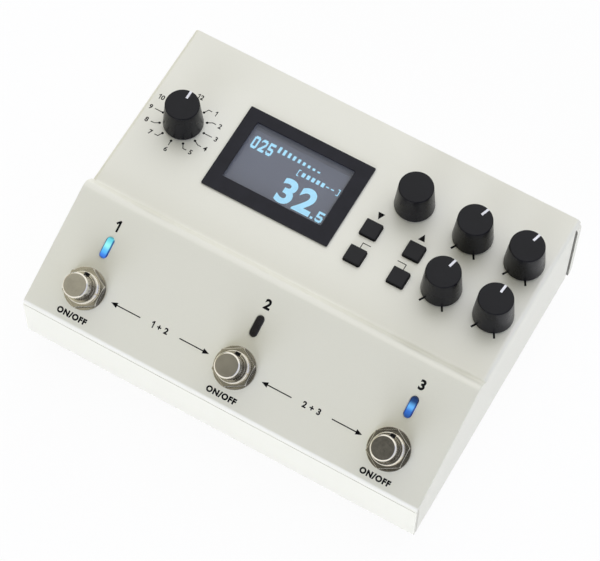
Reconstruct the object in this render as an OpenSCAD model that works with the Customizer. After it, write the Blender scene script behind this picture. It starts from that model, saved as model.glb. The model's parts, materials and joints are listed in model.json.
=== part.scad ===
// Digital delay pedal with three foot switches, six knobs, four keys and a display
// A folded cover with side walls stands on a folded chassis of floor, front wall and rear wall
// X runs to the right, Y to the rear and Z up, and the feet stand on Z = 0

/* [Case] */
// Width of the cover across its side walls
case_w = 169; // [162:1:190]
// Depth of the case from the front wall to the rear wall
case_d = 128; // [125:1:145]
// Height of the case's lower edge above the ground
case_lift = 7.5; // [6:0.5:9]
// Height of the control panel above the ground
panel_z = 48; // [46:0.5:54]
// Height of the corner between the front wall and the foot panel
front_z = 32.5; // [31:0.5:34]
// Slope of the foot panel in degrees
foot_tilt = 23.4; // [21:0.1:26]
// Level distance from the front wall to the crest of the ridge
foot_run = 47.3; // [45:0.1:50]
// Level width of the ridge's rear face
ridge_back = 3.8; // [2.5:0.1:4.5]
// Thickness of the folded sheet
sheet = 1.5; // [1.2:0.1:1.8]
// Outside radius of the bend along the front edge
front_bend = 2.2; // [2:0.1:2.6]
// Radius on the crest of the ridge
ridge_round = 3.6; // [2:0.1:4]
// Radius where the ridge's rear face meets the control panel
ridge_fillet = 2; // [0.5:0.1:2.5]
// Radius of the bend between the control panel and a side wall
side_bend = 2; // [1:0.1:3]
// Height of the lip that the cover turns down over the front wall
lip_h = 1.8; // [1.8:0.1:6]
// Gap between the cover and the chassis
seam = 0.4; // [0.2:0.05:0.8]
// Gap between the cover's side walls and the rear wall
rear_seam = 1.5; // [0.4:0.1:1.8]
// Thickness of the rear wall
rear_t = 3; // [2:0.1:3.5]
// How far the rear wall stands out past each side wall
rear_proud = 0.5; // [0.3:0.1:2]
// Radius of the rear wall's upper corners
rear_round = 3; // [1:0.5:5]

/* [Feet and fixings] */
// Diameter of a rubber foot
foot_d = 19; // [15:0.5:21]
// Distance of a foot's centre from the nearest walls
foot_inset = 16; // [14:0.5:20]
// Diameter of a foot's stem
stem_d = 6; // [4:0.5:7]
// Diameter of the head that holds a foot in the floor
stem_head_d = 8.4; // [7.5:0.1:10]
// Length of the cover's tabs that take the floor screws
tab_l = 12; // [10:0.5:16]
// Reach of those tabs from the side wall
tab_w = 11; // [9:0.5:13]
// Shank diameter of the floor screws
screw_d = 3; // [2.5:0.1:4]
// Shank diameter of the small screws in the circuit boards
board_screw_d = 2.5; // [2:0.1:3]
// Height of the posts under the main board
board_stand = 10.4; // [8:0.1:12]
// Thickness of a circuit board
board_t = 1.6; // [1:0.1:2]

/* [Foot switches] */
// Distance of the outer switches from the side walls
switch_edge = 19.5; // [17:0.5:24]
// Distance of the switches up the slope from the front corner
switch_up = 15.3; // [14.6:0.1:18]
// Diameter of the threaded bushing
bush_d = 12; // [11:0.5:13]
// Height of the bushing above the foot panel
bush_h = 7; // [6:0.1:8]
// Outer diameter of the flat washer
washer_d = 16.7; // [15.5:0.1:19]
// Thickness of the flat washer
washer_t = 1.2; // [0.8:0.1:1.6]
// Width across the flats of the hex nut
nut_flats = 14.2; // [13.5:0.1:16]
// Thickness of the hex nut
nut_t = 2.6; // [2:0.1:3.2]
// Diameter of the plunger
plunger_d = 9.8; // [9:0.1:10.4]
// Height of the plunger's top above the foot panel
plunger_h = 15; // [13:0.1:17]
// Bevel round the plunger's top
plunger_bevel = 0.5; // [0.3:0.05:1]
// Travel of the plunger
plunger_travel = 3.5; // [2:0.1:4]
// Width of the switch body
switch_body_w = 16; // [15:0.5:18]
// Depth of the switch body under the foot panel
switch_body_h = 16; // [14:0.5:18]

/* [Lamps] */
// Distance of the lamps up the slope from the front corner
lamp_up = 32.7; // [31:0.1:36]
// Length of a lamp lens
lamp_l = 8.4; // [7:0.1:10]
// Width of a lamp lens
lamp_w = 2.9; // [2.6:0.1:4]
// Height of a lamp lens above the foot panel
lamp_proud = 0.6; // [0.3:0.1:1.2]
// Distance of the lamp board below the foot panel
lamp_board_drop = 6; // [5.5:0.1:8]

/* [Knobs] */
// Diameter of a knob at its foot
knob_base_d = 15.7; // [15:0.1:17]
// Diameter of a knob at its top
knob_top_d = 13.4; // [12:0.1:15]
// Height of a knob
knob_h = 13.4; // [12:0.1:16]
// Gap between a knob and the control panel
knob_gap = 0.6; // [0.4:0.1:1]
// Diameter of a shaft
shaft_d = 6; // [5:0.1:6.2]
// Diameter of the threaded neck that a shaft turns in
neck_d = 7.6; // [7.2:0.1:8]
// Height of that neck above the control panel
neck_h = 3; // [2.6:0.1:3.4]
// Distance from the right side wall to the last column of knobs
knob_edge = 10.6; // [9.5:0.5:14]
// Distance between the last two columns of knobs
knob_pitch_x = 21.8; // [18:0.1:25]
// Distance between the two rows of knobs
knob_pitch_y = 24.9; // [20:0.1:28]
// Distance from the back of the case to the rear row of knobs
knob_rear = 26.4; // [22:0.1:30]
// Distance from the value knob to the next column
value_pitch = 25.5; // [20:0.1:28]
// Distance from the back of the case to the value knob
value_rear = 25.3; // [24:0.1:28]
// Distance from the left side wall to the mode knob
mode_edge = 17.5; // [15:0.1:19]
// Distance from the back of the case to the mode knob
mode_rear = 38.7; // [30:0.1:45]
// Height of the controls between the panel and their board
pot_h = 7; // [6:0.1:9]

/* [Keys] */
// Width of a key
key_w = 7; // [6:0.1:8]
// Height of a key above the control panel
key_proud = 1.6; // [1.2:0.1:2.5]
// Corner radius of a key
key_round = 0.6; // [0.5:0.1:1.5]
// Travel of a key
key_travel = 0.8; // [0.4:0.1:1]
// Distance from the right side wall to the last column of keys
key_edge = 48.3; // [44:0.1:50]
// Distance from the back of the case to the rear row of keys
key_rear = 43.2; // [42:0.1:48]
// Distance between the columns of keys
key_pitch_x = 18.4; // [16:0.1:19]
// Distance between the rows of keys
key_pitch_y = 12.5; // [11:0.1:14]

/* [Display] */
// Depth of that frame
bezel_d = 38.4; // [37:0.1:40]
// Height of that frame above the control panel
bezel_proud = 0.8; // [0.8:0.1:2]
// Distance from the left side wall to the frame
bezel_edge = 36.6; // [33:0.1:38]
// Distance from the frame to the right side wall
bezel_right = 77.7; // [75:0.1:80]
// Distance from the back of the case to the frame
bezel_rear = 19.4; // [15:0.1:23]
// Depth of the window
window_d = 26.7; // [24:0.1:28]
// Distance from the frame's left edge to the window
window_left = 5.6; // [5:0.1:6]
// Distance from the window to the frame's right edge
window_right = 6.3; // [5:0.1:7]
// Distance from the frame's rear edge to the window
window_rear = 5.1; // [4.8:0.1:6]
// Thickness of the clear lens
lens_t = 1.2; // [0.8:0.1:1.5]

/* [Rear connectors] */
// How far a jack's bushing stands out past the rear wall
jack_proud = 6; // [5:0.5:6.5]
// Outer diameter of a jack's bushing
jack_neck_d = 9.4; // [9:0.1:10.5]
// Bore of a jack
jack_bore_d = 6.5; // [6.45:0.05:6.8]
// Width of a jack's body
jack_body_w = 16; // [14:0.5:18]
// Height of a jack's body
jack_body_h = 14; // [13.5:0.5:15]
// Length of a jack's body inside the rear wall
jack_body_l = 26; // [24:0.5:28]
// Width across the flats of a jack's nut
jack_nut_flats = 12; // [11.5:0.1:13.5]
// Thickness of a jack's nut
jack_nut_t = 2.4; // [1.8:0.1:3]
// Outer diameter of a jack's washer
jack_washer_d = 14; // [13.8:0.1:15]
// Thickness of a jack's washer
jack_washer_t = 0.8; // [0.5:0.1:1.2]
// Distance from the left side wall to the first jack
jack_edge = 16.5; // [14:0.5:20]
// Distance from the last jack to the power inlet
inlet_gap = 26; // [20:0.5:30]
// Distance from the right side wall to the power inlet
inlet_edge = 36.5; // [34:0.5:38]
// Bore of the power inlet
inlet_bore_d = 6; // [5.6:0.1:6.4]
// Diameter of the power inlet's pin
inlet_pin_d = 2; // [1.6:0.1:2.4]
// Distance from the right side wall to the power button
power_edge = 16.5; // [14:0.5:18]
// Diameter of the power button
power_d = 7.6; // [6:0.1:8]
// How far the power button stands out past the rear wall
power_proud = 5.5; // [4:0.1:7]
// Travel of the power button
power_travel = 2.5; // [1.5:0.1:3]

/* [Hidden] */
$fn = 64;
// Extra length of a cutter past the face that it cuts
cut = 1;
// Clearance all round a piece that passes through a panel
fit = 0.2;
// Radial clearance of a turning shaft
turn_fit = 0.05;
// Radial clearance of a sliding plunger
slide_fit = 0.1;
// Radial clearance of a screw, a stud or a knob on its shaft
seat_fit = 0.04;

// Main planes of the case
front_y = -(case_d + jack_proud) / 2;
rear_y = front_y + case_d;
wall_y = rear_y - rear_t;
side_x = case_w / 2;
inner_x = side_x - sheet;
floor_z = case_lift + sheet;
under_z = panel_z - sheet;
ridge_y = front_y + foot_run;
ridge_z = front_z + foot_run * tan(foot_tilt);
slope_l = foot_run / cos(foot_tilt);

// Tabs and feet on the floor
tab_gap = 4;
tab_inset = foot_inset + foot_d / 2 + tab_gap + tab_l / 2;
tab_y = [front_y + tab_inset, (front_y + wall_y) / 2, wall_y - tab_inset];
tab_x = inner_x - tab_w / 2;
foot_x = side_x - foot_inset;
foot_y = [front_y + foot_inset, wall_y - foot_inset];
foot_round = 1.5;
stem_head_h = 2.4;
stem_taper = 1;
stem_top = floor_z + stem_head_h;
screw_head_d = 1.85 * screw_d;
screw_head_h = 0.6 * screw_d;
screw_spare = 2;

// Bend between the floor and the front wall
floor_bend = 0.9 * sheet;

// Seam groove in the side walls, under the edges of the foot panel
groove_w = 0.4;
groove_depth = 0.8;
groove_drop = 1;

// Foot switches and lamps across the foot panel
switch_x = side_x - switch_edge;
switch_places = [-switch_x, 0, switch_x];
bush_root = 4;
collar_t = 2;
collar_lip = 0.7;
collar_d = plunger_d + 2 * collar_lip;
chamber_d = collar_d + 2 * fit;
switch_room = 0.4;
chamber_h = collar_t + slide_fit + plunger_travel + switch_room;
slot_w = 2;
slot_depth = 2.4;
lamp_flange = 1.4;
lamp_flange_t = 0.8;
lamp_board_d = 12;
lamp_deck = -sheet - lamp_board_drop;
lamp_board_end = 8;
lamp_board_half = switch_x + lamp_board_end;
stud_x = switch_x / 2;
stud_d = 5;
led_d = 3;
led_base = 4;
led_gap = 0.7;
led_h = lamp_board_drop - lamp_flange_t - led_gap;

// Controls on the control panel
knob_x = side_x - knob_edge;
row_y = rear_y - knob_rear;
knob_places = [
    [mode_edge - side_x, rear_y - mode_rear],
    [knob_x - knob_pitch_x - value_pitch, rear_y - value_rear],
    [knob_x - knob_pitch_x, row_y],
    [knob_x, row_y],
    [knob_x - knob_pitch_x, row_y - knob_pitch_y],
    [knob_x, row_y - knob_pitch_y]
];
mode_control = 0;
value_control = 1;
feedback_control = 2;
level_control = 3;
time_control = 4;
depth_control = 5;
knob_z = panel_z + knob_gap;
knob_crown = 2.4;
knob_edge_round = 0.5;
shaft_flat = 0.25 * shaft_d;
neck_nut_flats = 10;
neck_nut_t = 2;
nut_room = 0.45;
neck_room = 0.6;
knob_hollow_d = neck_nut_flats / cos(30) + 2 * nut_room;
knob_hollow_h = neck_h + neck_room - knob_gap;
rotor_lip = 1.2;
rotor_d = shaft_d + 2 * rotor_lip;
rotor_t = 1.4;
rotor_gap = 0.3;
pot_floor = 1.2;
pot_w = 10;
mode_body_w = 14;
encoder_w = 12;
deck_z = under_z - pot_h;
deck_margin = 2;
deck_front_gap = 12;
deck_rear_gap = 6;
deck_front = ridge_y + deck_front_gap;
deck_rear = wall_y - deck_rear_gap;

// Keys
key_x = [side_x - key_edge - key_pitch_x, side_x - key_edge];
key_y = [rear_y - key_rear - key_pitch_y, rear_y - key_rear];
key_flange = 1;
key_flange_t = 1;
key_crown = 0.5;
key_stem_d = 3.4;
tact_w = 6;
tact_h = 3.5;
key_stem_in = 1.2;
key_room = 0.6;
tact_bore = key_stem_in + key_travel + key_room;
key_stem_z = deck_z + tact_h - key_stem_in;
key_flange_z = under_z - fit - key_flange_t;

// Display, as wide as the side walls and the controls beside it leave
bezel_w = case_w - bezel_edge - bezel_right;
bezel_x = bezel_edge - side_x + bezel_w / 2;
bezel_y = rear_y - bezel_rear - bezel_d / 2;
bezel_round = 0.5;
window_w = bezel_w - window_left - window_right;
window_x = bezel_x - bezel_w / 2 + window_left + window_w / 2;
window_y = bezel_y + bezel_d / 2 - window_rear - window_d / 2;
lens_rim = 1.8;
lens_lip = 0.6;
lens_w = window_w + 2 * lens_rim;
lens_d = window_d + 2 * lens_rim;
lens_z = panel_z + bezel_proud - lens_lip - lens_t;
skirt_wall = 1.5;
skirt_drop = 1.5;
skirt_w = lens_w + 2 * skirt_wall;
skirt_d = lens_d + 2 * skirt_wall;
lcd_gap = 0.3;

// Main board and what stands on it
board_z = floor_z + board_stand + board_t;
board_margin = 6;
board_reach = 8;
board_half = inner_x - board_margin;
board_front = ridge_y - board_reach;
board_rear = wall_y - seam;
post_flats = 5.5;
post_inset = 24;
post_margin = 6;
post_x = [post_inset - board_half, 0, board_half - post_inset];
post_y = [board_front + post_margin, wall_y - jack_body_l - post_margin];
post_stud_d = 3;
post_thread_l = 6;
board_screw_head_d = 2 * board_screw_d;
board_screw_head_h = 1.5;
link_l = 38;
link_w = 5;
link_edge = 36;
link_gap = 17;
link_x = side_x - link_edge;
link_y = wall_y - jack_body_l - link_gap;

// Rear connectors, with the jacks spread evenly up to the power inlet
jack_z = board_z + jack_body_h / 2;
jack_count = 5;
inlet_x = side_x - inlet_edge;
jack_first = jack_edge - side_x;
jack_pitch = (inlet_x - inlet_gap - jack_first) / (jack_count - 1);
jack_places = [for (i = [0:jack_count - 1]) jack_first + i * jack_pitch];
jack_back = 3;
jack_bore_l = jack_proud + rear_t + jack_body_l - jack_back;
inlet_w = 9.6;
inlet_h = 11;
inlet_l = 14;
inlet_z = board_z + inlet_h / 2;
inlet_collar_d = 8;
inlet_lip = 0.6;
inlet_back = 3;
inlet_bore_l = inlet_lip + rear_t + inlet_l - inlet_back;
inlet_pin_l = 9;
power_x = side_x - power_edge;
power_body_w = 12;
power_body_l = 18;
power_z = board_z + power_body_w / 2;
power_round = 0.6;
power_collar_d = power_d + 2 * collar_lip;
power_collar_t = 1.5;
power_stem_d = 4;
power_stem_l = 8;
power_room = 2;
power_chamber = power_collar_t + power_travel + power_room;
power_floor = 2;

// Paint and material colours
paint = [0.90, 0.90, 0.87];
black = [0.16, 0.16, 0.17];
steel = [0.70, 0.68, 0.64];
green = [0.16, 0.38, 0.24];
plastic = [0.25, 0.25, 0.26];

// Outline helpers

function unit(v) = v / norm(v);
function left_of(v) = [-v.y, v.x];

// Corner b between a and c moved inwards by t, on an outline that runs anticlockwise
function inset_corner(a, b, c, t) =
    let (m = left_of(unit(b - a)), n = left_of(unit(c - b)))
    b + (m + n) * t / (1 + m * n);

function inset(p, t) =
    let (last = len(p) - 1)
    [for (i = [0:last]) inset_corner(p[i == 0 ? last : i - 1], p[i], p[i == last ? 0 : i + 1], t)];

// Points of the arc that rounds corner b between a and c
function arc_points(a, b, c, r, steps = 8) =
    let (
        u = unit(a - b),
        v = unit(c - b),
        half = acos(u * v) / 2,
        centre = b + unit(u + v) * r / sin(half),
        start = b + u * r / tan(half) - centre,
        from = atan2(start.y, start.x),
        turn = (180 - 2 * half) * sign(cross(b - a, c - b))
    )
    [for (i = [0:steps]) centre + r * [cos(from + turn * i / steps), sin(from + turn * i / steps)]];

function rounded(p, radii) =
    let (last = len(p) - 1)
    [for (i = [0:last])
        each radii[i] == 0 ? [p[i]]
        : arc_points(p[i == 0 ? last : i - 1], p[i], p[i == last ? 0 : i + 1], radii[i])];

function box_corners(w, d) = [[-w / 2, -d / 2], [w / 2, -d / 2], [w / 2, d / 2], [-w / 2, d / 2]];
function rounded_box(w, d, r) = rounded(box_corners(w, d), [r, r, r, r]);

// Placing helpers

// Pulls an outline drawn in Y and Z along X, from -half to half
module across(points, half)
    translate([-half, 0, 0]) rotate([90, 0, 90]) linear_extrude(2 * half) polygon(points);

// Pulls an outline drawn in X and Z along Y, from y to y + l
module lengthways(points, y, l)
    translate([0, y + l, 0]) rotate([90, 0, 0]) linear_extrude(l) polygon(points);

// A block centred on X and Y that stands on z
module block(w, d, h, z = 0)
    translate([-w / 2, -d / 2, z]) cube([w, d, h]);

// A round bar on the Z axis from z to z + h
module bar(d, h, z = 0)
    translate([0, 0, z]) cylinder(d = d, h = h);

module hex(flats, h, z = 0)
    translate([0, 0, z]) cylinder(d = flats / cos(30), h = h, $fn = 6);

// Puts its children on the foot panel, up the slope from the front corner, with Z outward
module on_foot_panel(x, up)
    translate([x, front_y, front_z]) rotate([foot_tilt, 0, 0]) translate([0, up, 0]) children();

// Puts its children on the rear wall's outer face, with Z to the rear
module on_rear_wall(x, z)
    translate([x, rear_y, z]) rotate([-90, 0, 0]) children();

// A long lens outline that lies up the slope
module pill(l, w, h, z)
    translate([0, 0, z]) {
        for (end = [-1, 1])
            translate([0, end * (l - w) / 2, 0]) cylinder(d = w, h = h);
        block(w, l - w, h);
    }

// Cover

case_outline = [
    [front_y, case_lift],
    [rear_y, case_lift],
    [rear_y, panel_z],
    [ridge_y + ridge_back, panel_z],
    [ridge_y, ridge_z],
    [front_y, front_z]
];
case_radii = [0, 0, 0, ridge_fillet, ridge_round, front_bend];
inner_outline = inset(case_outline, sheet);
hollow_outline = [
    [front_y + sheet, case_lift - cut],
    [rear_y + cut, case_lift - cut],
    [rear_y + cut, under_z],
    inner_outline[3],
    inner_outline[4],
    inner_outline[5]
];
hollow_radii = [0, 0, 0, ridge_fillet + sheet, ridge_round - sheet, front_bend - sheet];

module cover_shell()
    difference() {
        across(rounded(case_outline, case_radii), side_x);
        across(rounded(hollow_outline, hollow_radii), inner_x);
        translate([0, front_y + sheet + seam - case_d / 2, 0])
            block(case_w + 2 * cut, case_d, front_z - lip_h);
        translate([0, wall_y - rear_seam + case_d / 2, 0])
            block(case_w + 2 * cut, case_d, under_z);
    }

// What a bend of radius r takes off a square edge whose faces meet at the origin
function bend_waste(r) = concat(
    [[cut, cut], [-r, cut]],
    [for (a = [90:-10:0]) [r * (cos(a) - 1), r * (sin(a) - 1)]],
    [[cut, -r]]
);

module side_edges()
    for (side = [0, 1]) mirror([side, 0, 0]) {
        translate([side_x, 0, panel_z]) lengthways(bend_waste(side_bend), ridge_y + ridge_back, case_d);
        on_foot_panel(side_x - groove_depth, front_bend)
            translate([0, 0, -groove_drop - groove_w])
                cube([groove_depth + cut, slope_l - front_bend - ridge_round, groove_w]);
    }

module cover_tabs()
    for (side = [0, 1], y = tab_y)
        mirror([side, 0, 0]) difference() {
            translate([inner_x - tab_w, y - tab_l / 2, floor_z]) cube([tab_w + sheet / 2, tab_l, sheet]);
            translate([tab_x, y, 0]) bar(screw_d + 2 * seat_fit, sheet + 2 * cut, floor_z - cut);
        }

module lamp_studs()
    for (x = [-stud_x, stud_x])
        on_foot_panel(x, lamp_up) difference() {
            bar(stud_d, lamp_board_drop + sheet / 2, lamp_deck);
            bar(board_screw_d + 2 * seat_fit, lamp_board_drop, lamp_deck - cut);
        }

module control_holes() {
    for (p = knob_places)
        translate([p.x, p.y, 0]) bar(neck_d + 2 * fit, sheet + 2 * cut, under_z - cut);
    for (x = key_x, y = key_y)
        translate([x, y, under_z - cut])
            linear_extrude(sheet + 2 * cut)
                polygon(rounded_box(key_w + 2 * fit, key_w + 2 * fit, key_round + fit));
    translate([window_x, window_y, 0])
        block(skirt_w + 2 * fit, skirt_d + 2 * fit, sheet + 2 * cut, under_z - cut);
}

module foot_panel_holes()
    for (x = switch_places) {
        on_foot_panel(x, switch_up) bar(bush_d + 2 * fit, sheet + 2 * cut, -sheet - cut);
        on_foot_panel(x, lamp_up) pill(lamp_l + 2 * fit, lamp_w + 2 * fit, sheet + 2 * cut, -sheet - cut);
    }

module top_cover() color(paint) {
    difference() {
        union() {
            cover_shell();
            cover_tabs();
            lamp_studs();
        }
        side_edges();
        control_holes();
        foot_panel_holes();
    }
}

// Chassis

front_wall_z = front_z - lip_h - seam;
front_wall_outline = rounded(
    [
        [front_y, case_lift], [front_y + sheet, case_lift],
        [front_y + sheet, front_wall_z], [front_y, front_wall_z]
    ],
    [floor_bend, 0, 0, 0]
);
rear_x = side_x + rear_proud;
rear_wall_z = under_z - fit;
rear_wall_outline = rounded(
    [[-rear_x, case_lift], [rear_x, case_lift], [rear_x, rear_wall_z], [-rear_x, rear_wall_z]],
    [0, 0, rear_round, rear_round]
);

module floor_holes() {
    for (side = [-1, 1], y = tab_y)
        translate([side * tab_x, y, 0]) bar(screw_d + 2 * fit, sheet + 2 * cut, case_lift - cut);
    for (side = [-1, 1], y = foot_y)
        translate([side * foot_x, y, 0]) bar(stem_d + 2 * slide_fit, sheet + 2 * cut, case_lift - cut);
    for (x = post_x, y = post_y)
        translate([x, y, 0]) bar(post_stud_d + 2 * seat_fit, sheet + 2 * cut, case_lift - cut);
}

module rear_holes() {
    for (x = jack_places)
        on_rear_wall(x, jack_z) bar(jack_neck_d + 2 * fit, rear_t + 2 * cut, -rear_t - cut);
    on_rear_wall(inlet_x, inlet_z) bar(inlet_collar_d + 2 * fit, rear_t + 2 * cut, -rear_t - cut);
    on_rear_wall(power_x, power_z) bar(power_d + 2 * fit, rear_t + 2 * cut, -rear_t - cut);
}

// The bend between the floor and the rear wall
module rear_bend()
    translate([0, rear_y, case_lift]) mirror([0, 0, 1]) across(bend_waste(rear_t), rear_x + cut);

module base_chassis() color(paint) {
    difference() {
        union() {
            translate([seam - inner_x, front_y + sheet / 2, case_lift])
                cube([2 * (inner_x - seam), case_d - sheet / 2 - rear_t / 2, sheet]);
            across(front_wall_outline, side_x);
            lengthways(rear_wall_outline, wall_y, rear_t);
        }
        floor_holes();
        rear_holes();
        rear_bend();
    }
}

// Feet and floor screws

foot_outline = rounded(
    [
        [0, 0], [foot_d / 2, 0], [foot_d / 2, case_lift], [stem_d / 2, case_lift], [stem_d / 2, floor_z],
        [stem_head_d / 2, floor_z], [stem_d / 2 - stem_taper, stem_top], [0, stem_top]
    ],
    [0, foot_round, 0, 0, 0, 0, 0, 0]
);

module rubber_feet() color(black)
    for (side = [-1, 1], y = foot_y)
        translate([side * foot_x, y, 0]) rotate_extrude() polygon(foot_outline);

module base_screws() color(steel)
    for (side = [-1, 1], y = tab_y)
        translate([side * tab_x, y, 0]) {
            bar(screw_head_d, screw_head_h, case_lift - screw_head_h);
            bar(screw_d, 2 * sheet + screw_spare, case_lift);
        }

// Display

module display_bezel() color(black)
    difference() {
        union() {
            translate([bezel_x, bezel_y, panel_z])
                linear_extrude(bezel_proud) polygon(rounded_box(bezel_w, bezel_d, bezel_round));
            translate([window_x, window_y, 0])
                block(skirt_w, skirt_d, sheet + skirt_drop, under_z - skirt_drop);
        }
        translate([window_x, window_y, 0]) {
            block(window_w, window_d, bezel_proud + sheet + cut, under_z);
            block(lens_w, lens_d, lens_z + lens_t - under_z + skirt_drop + cut, under_z - skirt_drop - cut);
        }
    }

module display_lens() color([0.6, 0.65, 0.7, 0.4])
    translate([window_x, window_y, 0])
        block(lens_w - 2 * seat_fit, lens_d - 2 * seat_fit, lens_t, lens_z);

module lcd_module() color([0.42, 0.43, 0.48])
    translate([window_x, window_y, 0])
        block(lens_w - 2 * fit, lens_d - 2 * fit, lens_z - lcd_gap - deck_z, deck_z);

// Circuit boards

module panel_board() color(green)
    translate([deck_margin - inner_x, deck_front, deck_z - board_t])
        cube([2 * (inner_x - deck_margin), deck_rear - deck_front, board_t]);

module main_board() color(green)
    difference() {
        translate([-board_half, board_front, board_z - board_t])
            cube([2 * board_half, board_rear - board_front, board_t]);
        for (x = post_x, y = post_y)
            translate([x, y, 0]) bar(board_screw_d + 2 * fit, board_t + 2 * cut, board_z - board_t - cut);
    }

// Chips as width, depth and height, in a row along the main board
chip_sizes = [[10, 8, 1.8], [18, 9, 2], [20, 20, 2.2], [12, 7, 1.8]];
chip_pitch = 24;
chip_edge = 14;
chip_gap = 6;
cap_count = 3;
cap_d = 8;
cap_h = 11;
cap_pitch = 11;
cap_post_gap = 13;
cap_chip_gap = 18;
chip_y = link_y - chip_gap;
cap_y = chip_y - cap_chip_gap;

module board_chips() color(plastic) {
    for (i = [0:len(chip_sizes) - 1])
        translate([chip_edge - board_half + i * chip_pitch, chip_y, 0])
            block(chip_sizes[i].x, chip_sizes[i].y, chip_sizes[i].z, board_z);
    for (i = [0:cap_count - 1])
        translate([post_x[0] + cap_post_gap + i * cap_pitch, cap_y, 0]) bar(cap_d, cap_h, board_z);
}

module board_standoffs() color(steel)
    for (x = post_x, y = post_y)
        translate([x, y, 0]) difference() {
            union() {
                hex(post_flats, board_stand, floor_z);
                bar(post_stud_d, sheet + cut, case_lift);
            }
            bar(board_screw_d + 2 * seat_fit, post_thread_l + cut, board_z - board_t - post_thread_l);
        }

module board_screws() color(steel)
    for (x = post_x, y = post_y)
        translate([x, y, 0]) {
            bar(board_screw_head_d, board_screw_head_h, board_z);
            bar(board_screw_d, board_t + post_thread_l - cut, board_z - board_t - post_thread_l + cut);
        }

module board_link() color(black)
    translate([link_x, link_y, 0]) block(link_l, link_w, deck_z - board_t - board_z, board_z);

// Lamps

module led_board() color(green)
    on_foot_panel(0, lamp_up) difference() {
        block(2 * lamp_board_half, lamp_board_d, board_t, lamp_deck - board_t);
        for (x = [-stud_x, stud_x])
            translate([x, 0, 0])
                bar(board_screw_d + 2 * fit, board_t + 2 * cut, lamp_deck - board_t - cut);
    }

module led_board_screws() color(steel)
    for (x = [-stud_x, stud_x])
        on_foot_panel(x, lamp_up) {
            bar(board_screw_head_d, board_screw_head_h, lamp_deck - board_t - board_screw_head_h);
            bar(board_screw_d, board_t + lamp_board_drop - 2 * cut, lamp_deck - board_t);
        }

module leds() color([0.8, 0.9, 0.95])
    for (x = switch_places)
        on_foot_panel(x, lamp_up) {
            block(led_base, led_base, led_h / 2, lamp_deck);
            bar(led_d, led_h, lamp_deck);
        }

module led_lens(x) color([0.5, 0.8, 0.95])
    on_foot_panel(x, lamp_up) {
        pill(lamp_l, lamp_w, sheet + lamp_proud, -sheet);
        pill(lamp_l + 2 * lamp_flange, lamp_w + 2 * lamp_flange, lamp_flange_t, -sheet - lamp_flange_t);
    }

module led_lens_left() led_lens(-switch_x);
module led_lens_middle() led_lens(0);
module led_lens_right() led_lens(switch_x);

// Foot switches

// The bushing's bore guides the plunger and the chamber below stops its collar
module switch_body()
    difference() {
        union() {
            bar(bush_d, bush_h + sheet + cut, -sheet - cut);
            block(switch_body_w, switch_body_w, switch_body_h, -sheet - switch_body_h);
        }
        bar(plunger_d + 2 * slide_fit, bush_h + bush_root + cut, -bush_root);
        bar(chamber_d, chamber_h, -bush_root - chamber_h);
        translate([-slot_w / 2, 0, bush_h - slot_depth]) cube([slot_w, bush_d, slot_depth + cut]);
    }

module switch_bodies() color(steel)
    for (x = switch_places) on_foot_panel(x, switch_up) switch_body();

module switch_washers() color(steel)
    for (x = switch_places)
        on_foot_panel(x, switch_up) difference() {
            bar(washer_d, washer_t);
            bar(bush_d + 2 * slide_fit, washer_t + 2 * cut, -cut);
        }

module switch_nuts() color(steel)
    for (x = switch_places)
        on_foot_panel(x, switch_up) difference() {
            rotate(30) hex(nut_flats, nut_t, washer_t);
            bar(bush_d + 2 * seat_fit, nut_t + 2 * cut, washer_t - cut);
        }

plunger_outline = [
    [0, -bush_root - collar_t - slide_fit],
    [collar_d / 2, -bush_root - collar_t - slide_fit],
    [collar_d / 2, -bush_root - slide_fit],
    [plunger_d / 2, -bush_root - slide_fit],
    [plunger_d / 2, plunger_h - plunger_bevel],
    [plunger_d / 2 - plunger_bevel, plunger_h],
    [0, plunger_h]
];

module foot_button(x) color(steel)
    on_foot_panel(x, switch_up) rotate_extrude() polygon(plunger_outline);

module foot_button_left() foot_button(-switch_x);
module foot_button_middle() foot_button(0);
module foot_button_right() foot_button(switch_x);

// Keys

// Side view of a key's cap, rounded over at the top
key_side = rounded(
    [
        [-key_w / 2, key_flange_z], [key_w / 2, key_flange_z],
        [key_w / 2, panel_z + key_proud], [-key_w / 2, panel_z + key_proud]
    ],
    [0, 0, key_crown, key_crown]
);

module key(x, y) color(black)
    translate([x, y, 0]) {
        intersection() {
            linear_extrude(panel_z + 2 * key_proud) polygon(rounded_box(key_w, key_w, key_round));
            lengthways(key_side, -key_w, 2 * key_w);
            across(key_side, key_w);
        }
        block(key_w + 2 * key_flange, key_w + 2 * key_flange, key_flange_t, key_flange_z);
        bar(key_stem_d, key_flange_z - key_stem_z + key_flange_t / 2, key_stem_z);
    }

module key_down() key(key_x[0], key_y[1]);
module key_up() key(key_x[1], key_y[1]);
module key_exit() key(key_x[0], key_y[0]);
module key_edit() key(key_x[1], key_y[0]);

module key_switches() color(plastic)
    for (x = key_x, y = key_y)
        translate([x, y, 0]) difference() {
            block(tact_w, tact_w, tact_h, deck_z);
            bar(key_stem_d + 2 * slide_fit, tact_bore + cut, deck_z + tact_h - tact_bore);
        }

// Knobs and what they turn

knob_outline = rounded(
    [[0, 0], [knob_base_d / 2, 0], [knob_top_d / 2, knob_h], [0, knob_h]],
    [0, 0, knob_edge_round, 0]
);

// The round bar of a shaft with its flat, grown by c
module flatted_bar(c, h)
    difference() {
        bar(shaft_d + 2 * c, h);
        translate([shaft_flat + c, -shaft_d, -cut]) cube([shaft_d, 2 * shaft_d, h + 2 * cut]);
    }

module knob(i) color(black)
    translate([knob_places[i].x, knob_places[i].y, knob_z]) difference() {
        rotate_extrude() polygon(knob_outline);
        bar(knob_hollow_d, knob_hollow_h + cut, -cut);
        flatted_bar(seat_fit, knob_h - knob_crown);
    }

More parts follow.
